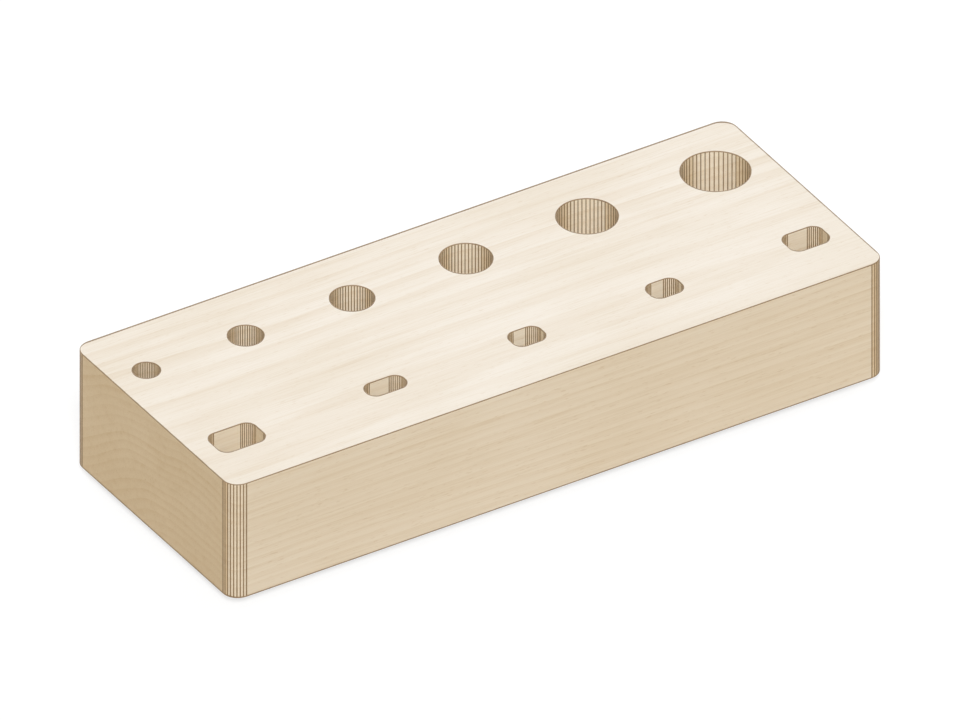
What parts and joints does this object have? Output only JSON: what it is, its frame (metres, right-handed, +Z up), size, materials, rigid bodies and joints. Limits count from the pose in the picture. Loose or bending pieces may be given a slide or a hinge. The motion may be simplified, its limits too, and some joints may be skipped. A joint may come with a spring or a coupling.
{
  "type": "tool stand",
  "caption": "Low hardwood bench block on rubber feet, with a row of graded round bores and a row of rounded slots that hobby tools stand in.",
  "frame": {"origin": "on the table, under the middle of the block", "axes": "+X along the block towards the widest bore, +Y to the row of round bores at the back, +Z up out of the sockets"},
  "size_m": [0.18, 0.07, 0.0345],
  "materials": {
    "hardwood": "pale close-grained hardwood, sanded and oiled to a low satin, tool edges slightly burnished",
    "rubber": "matt moulded",
    "steel": "zinc plated"
  },
  "bodies": {
    "root": {"block": "hardwood", "foot_front_left": "rubber", "foot_front_right": "rubber", "foot_back_left": "rubber", "foot_back_right": "rubber", "foot_washer_front_left": "steel", "foot_washer_front_right": "steel", "foot_washer_back_left": "steel", "foot_washer_back_right": "steel", "foot_screw_front_left": "steel", "foot_screw_front_right": "steel", "foot_screw_back_left": "steel", "foot_screw_back_right": "steel"}
  },
  "joints": []
}
